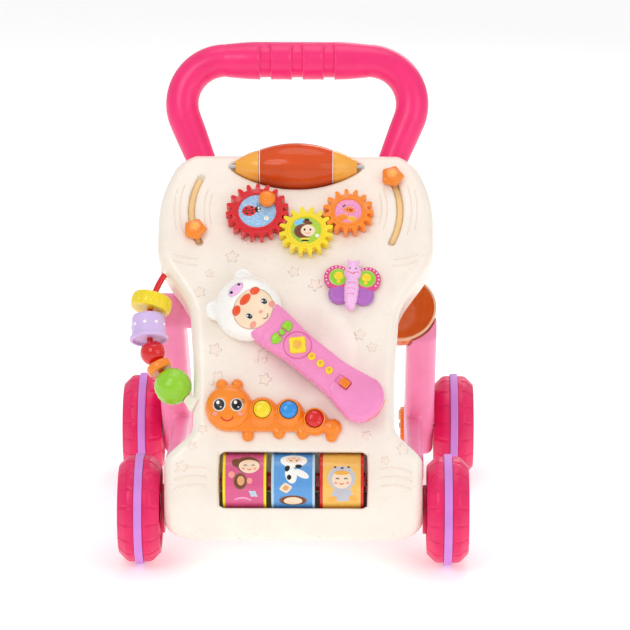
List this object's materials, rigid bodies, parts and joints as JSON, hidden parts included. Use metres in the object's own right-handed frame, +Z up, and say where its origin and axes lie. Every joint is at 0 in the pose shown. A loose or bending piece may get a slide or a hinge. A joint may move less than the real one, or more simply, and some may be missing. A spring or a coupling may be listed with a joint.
{
  "type": "baby walker",
  "caption": "Push-along baby walker with a curved activity panel: arched handle, wheels, gears, bead drum, picture rollers, rod beads and a lift-off toy phone.",
  "frame": {"origin": "on the floor, midway between the front and rear axles and between the left and right wheels", "axes": "+X to the right as a person facing the panel sees it, +Y from the panel back to the handle side, +Z up"},
  "size_m": [0.366, 0.379, 0.4736],
  "materials": {
    "cream_plastic": "glossy",
    "handle_pink": "glossy",
    "leg_pink": "glossy",
    "wheel_pink": "satin",
    "band_lilac": "soft satin",
    "steel": "brushed",
    "drum_clear_red": "tinted clear plastic",
    "drum_orange": "glossy",
    "bead_mix": "glossy",
    "gear_red": "glossy",
    "toy_yellow": "glossy",
    "toy_orange": "glossy",
    "toy_red": "glossy",
    "toy_blue": "glossy",
    "toy_green": "glossy",
    "lilac_plastic": "glossy",
    "pale_blue": "glossy",
    "wing_purple": "glossy",
    "pale_pink": "glossy",
    "phone_pink": "glossy",
    "phone_white": "glossy",
    "cup_orange": "tinted clear plastic",
    "rim_peach": "tinted clear plastic",
    "battery": "satin",
    "board_green": "matte",
    "speaker_dark": "matte"
  },
  "bodies": {
    "walker_frame": {"front_shell": "cream_plastic", "back_shell": "cream_plastic", "handle": "handle_pink", "leg_left": "leg_pink", "leg_right": "leg_pink", "axles": "steel", "front_bushes": "handle_pink", "screws": "steel", "drum_axle": "steel", "pivot_pins": "steel", "roller_axle": "toy_red", "inchworm_body": "toy_orange", "bead_rod": "toy_red", "ball_cup": "cup_orange", "cup_rim": "rim_peach", "batteries": "battery", "circuit_board": "board_green", "speaker": "speaker_dark"},
    "wheel_front_left": {"wheel_front_left": "wheel_pink", "band_front_left": "band_lilac"},
    "wheel_front_right": {"wheel_front_right": "wheel_pink", "band_front_right": "band_lilac"},
    "wheel_rear_left": {"wheel_rear_left": "wheel_pink", "band_rear_left": "band_lilac"},
    "wheel_rear_right": {"wheel_rear_right": "wheel_pink", "band_rear_right": "band_lilac"},
    "drum": {"drum_barrel": "drum_clear_red", "drum_caps": "drum_orange", "drum_beads": "bead_mix"},
    "slider_left": {"slider_left": "toy_orange"},
    "slider_right": {"slider_right": "toy_orange"},
    "gear_red": {"gear_red": "gear_red"},
    "gear_yellow": {"gear_yellow": "toy_yellow"},
    "gear_orange": {"gear_orange": "toy_orange"},
    "crank_knob": {"crank_knob": "toy_orange"},
    "butterfly": {"butterfly_body": "pale_pink", "butterfly_wings": "wing_purple"},
    "button_yellow": {"button_yellow": "toy_yellow"},
    "button_blue": {"button_blue": "toy_blue"},
    "button_red": {"button_red": "toy_red"},
    "roller_left": {"roller_left": "toy_yellow"},
    "roller_middle": {"roller_middle": "pale_blue"},
    "roller_right": {"roller_right": "toy_orange"},
    "bead_yellow": {"bead_yellow": "toy_yellow"},
    "bead_lilac": {"bead_lilac": "lilac_plastic"},
    "bead_red": {"bead_red": "toy_red"},
    "bead_orange": {"bead_orange": "toy_orange"},
    "bead_green": {"bead_green": "toy_green"},
    "phone": {"phone_front": "phone_pink", "phone_back": "phone_pink", "phone_head": "phone_white"},
    "flower_button": {"flower_button": "toy_yellow"},
    "phone_button_upper": {"phone_button_upper": "toy_yellow"},
    "phone_button_middle": {"phone_button_middle": "toy_yellow"},
    "phone_button_lower": {"phone_button_lower": "toy_yellow"},
    "phone_switch": {"phone_switch": "toy_orange"},
    "battery_door": {"battery_door": "cream_plastic"},
    "power_switch": {"power_switch": "toy_orange"},
    "speed_knob_left": {"speed_knob_left": "toy_orange"},
    "speed_knob_right": {"speed_knob_right": "toy_orange"}
  },
  "joints": [
    {"name": "wheel_front_left_spin", "type": "hinge", "parent": "walker_frame", "child": "wheel_front_left", "pos_m": [-0.1505, -0.135, 0.0545], "axis": [1, 0, 0], "continuous": true},
    {"name": "wheel_front_right_spin", "type": "hinge", "parent": "walker_frame", "child": "wheel_front_right", "pos_m": [0.1505, -0.135, 0.0545], "axis": [1, 0, 0], "continuous": true},
    {"name": "wheel_rear_left_spin", "type": "hinge", "parent": "walker_frame", "child": "wheel_rear_left", "pos_m": [-0.1625, 0.135, 0.0545], "axis": [1, 0, 0], "continuous": true},
    {"name": "wheel_rear_right_spin", "type": "hinge", "parent": "walker_frame", "child": "wheel_rear_right", "pos_m": [0.1625, 0.135, 0.0545], "axis": [1, 0, 0], "continuous": true},
    {"name": "drum_spin", "type": "hinge", "parent": "walker_frame", "child": "drum", "pos_m": [0, 0.02431, 0.36048], "axis": [1, 0, 0], "continuous": true},
    {"name": "slider_left_swing", "type": "hinge", "parent": "walker_frame", "child": "slider_left", "pos_m": [-0.0175, -0.01331, 0.32681], "axis": [0, -0.6933, 0.7206], "range_deg": [-44, 7.4]},
    {"name": "slider_right_swing", "type": "hinge", "parent": "walker_frame", "child": "slider_right", "pos_m": [0.0175, -0.01331, 0.32681], "axis": [0, -0.6933, 0.7206], "range_deg": [-50.2, 1.2]},
    {"name": "gear_red_spin", "type": "hinge", "parent": "walker_frame", "child": "gear_red", "pos_m": [-0.03774, -0.01984, 0.32169], "axis": [0, -0.7131, 0.701], "continuous": true},
    {"name": "gear_yellow_spin", "type": "hinge", "parent": "walker_frame", "child": "gear_yellow", "pos_m": [0.0107, -0.03496, 0.30631], "axis": [0, -0.7131, 0.701], "continuous": true},
    {"name": "gear_orange_spin", "type": "hinge", "parent": "walker_frame", "child": "gear_orange", "pos_m": [0.05224, -0.01961, 0.32193], "axis": [0, -0.7131, 0.701], "continuous": true},
    {"name": "crank_knob_spin", "type": "hinge", "parent": "gear_red", "child": "crank_knob", "pos_m": [-0.02824, -0.01178, 0.32989], "axis": [0, -0.7131, 0.701], "continuous": true},
    {"name": "butterfly_spin", "type": "hinge", "parent": "walker_frame", "child": "butterfly", "pos_m": [0.056, -0.07241, 0.26236], "axis": [0, -0.7778, 0.6285], "continuous": true},
    {"name": "button_yellow_press", "type": "slide", "parent": "walker_frame", "child": "button_yellow", "axis": [0, 0.8784, -0.4779], "range_m": [0, 0.002], "stiffness_N_per_m": 300, "springref_m": -0.001},
    {"name": "button_blue_press", "type": "slide", "parent": "walker_frame", "child": "button_blue", "axis": [0, 0.8784, -0.4779], "range_m": [0, 0.002], "stiffness_N_per_m": 300, "springref_m": -0.001},
    {"name": "button_red_press", "type": "slide", "parent": "walker_frame", "child": "button_red", "axis": [0, 0.8784, -0.4779], "range_m": [0, 0.002], "stiffness_N_per_m": 300, "springref_m": -0.001},
    {"name": "roller_left_spin", "type": "hinge", "parent": "walker_frame", "child": "roller_left", "pos_m": [0, -0.15163, 0.08835], "axis": [1, 0, 0], "continuous": true},
    {"name": "roller_middle_spin", "type": "hinge", "parent": "walker_frame", "child": "roller_middle", "pos_m": [0, -0.15163, 0.08835], "axis": [1, 0, 0], "continuous": true},
    {"name": "roller_right_spin", "type": "hinge", "parent": "walker_frame", "child": "roller_right", "pos_m": [0, -0.15163, 0.08835], "axis": [1, 0, 0], "continuous": true},
    {"name": "bead_green_slide", "type": "hinge", "parent": "walker_frame", "child": "bead_green", "pos_m": [-0.0464, -0.08136, 0.22778], "axis": [0, -0.8067, 0.591], "range_deg": [-9, 0]},
    {"name": "bead_orange_slide", "type": "hinge", "parent": "walker_frame", "child": "bead_orange", "pos_m": [-0.0464, -0.08136, 0.22778], "axis": [0, -0.8067, 0.591], "range_deg": [-9, 0]},
    {"name": "bead_red_slide", "type": "hinge", "parent": "walker_frame", "child": "bead_red", "pos_m": [-0.0464, -0.08136, 0.22778], "axis": [0, -0.8067, 0.591], "range_deg": [-9, 0]},
    {"name": "bead_lilac_slide", "type": "hinge", "parent": "walker_frame", "child": "bead_lilac", "pos_m": [-0.0464, -0.08136, 0.22778], "axis": [0, -0.8067, 0.591], "range_deg": [-9, 0]},
    {"name": "bead_yellow_slide", "type": "hinge", "parent": "walker_frame", "child": "bead_yellow", "pos_m": [-0.0464, -0.08136, 0.22778], "axis": [0, -0.8067, 0.591], "range_deg": [-9, 0]},
    {"name": "phone_lift", "type": "slide", "parent": "walker_frame", "child": "phone", "axis": [0, -0.8378, 0.546], "range_m": [0, 0.06]},
    {"name": "flower_button_press", "type": "slide", "parent": "phone", "child": "flower_button", "axis": [0, 0.8378, -0.546], "range_m": [0, 0.001], "stiffness_N_per_m": 300, "springref_m": -0.001},
    {"name": "phone_button_upper_press", "type": "slide", "parent": "phone", "child": "phone_button_upper", "axis": [0, 0.8378, -0.546], "range_m": [0, 0.001], "stiffness_N_per_m": 300, "springref_m": -0.001},
    {"name": "phone_button_middle_press", "type": "slide", "parent": "phone", "child": "phone_button_middle", "axis": [0, 0.8378, -0.546], "range_m": [0, 0.001], "stiffness_N_per_m": 300, "springref_m": -0.001},
    {"name": "phone_button_lower_press", "type": "slide", "parent": "phone", "child": "phone_button_lower", "axis": [0, 0.8378, -0.546], "range_m": [0, 0.001], "stiffness_N_per_m": 300, "springref_m": -0.001},
    {"name": "phone_switch_slide", "type": "slide", "parent": "phone", "child": "phone_switch", "axis": [-0.7694, 0.3487, 0.5352], "range_m": [0, 0.004]},
    {"name": "battery_door_lift", "type": "slide", "parent": "walker_frame", "child": "battery_door", "axis": [0, 0.8099, -0.5866], "range_m": [0, 0.03]},
    {"name": "power_switch_slide", "type": "slide", "parent": "walker_frame", "child": "power_switch", "axis": [1, 0, 0], "range_m": [0, 0.005]},
    {"name": "speed_knob_left_turn", "type": "hinge", "parent": "walker_frame", "child": "speed_knob_left", "pos_m": [-0.109, 0.135, 0.0545], "axis": [1, 0, 0], "range_deg": [0, 90]},
    {"name": "speed_knob_right_turn", "type": "hinge", "parent": "walker_frame", "child": "speed_knob_right", "pos_m": [0.109, 0.135, 0.0545], "axis": [1, 0, 0], "range_deg": [0, 90]}
  ],
  "couplings": [
    {"joint": "gear_yellow_spin", "follows": "gear_red_spin", "ratio": -1.1875},
    {"joint": "gear_orange_spin", "follows": "gear_red_spin", "ratio": 1.2667},
    {"joint": "bead_orange_slide", "follows": "bead_green_slide", "ratio": 1},
    {"joint": "bead_red_slide", "follows": "bead_green_slide", "ratio": 1},
    {"joint": "bead_lilac_slide", "follows": "bead_green_slide", "ratio": 1},
    {"joint": "bead_yellow_slide", "follows": "bead_green_slide", "ratio": 1}
  ]
}
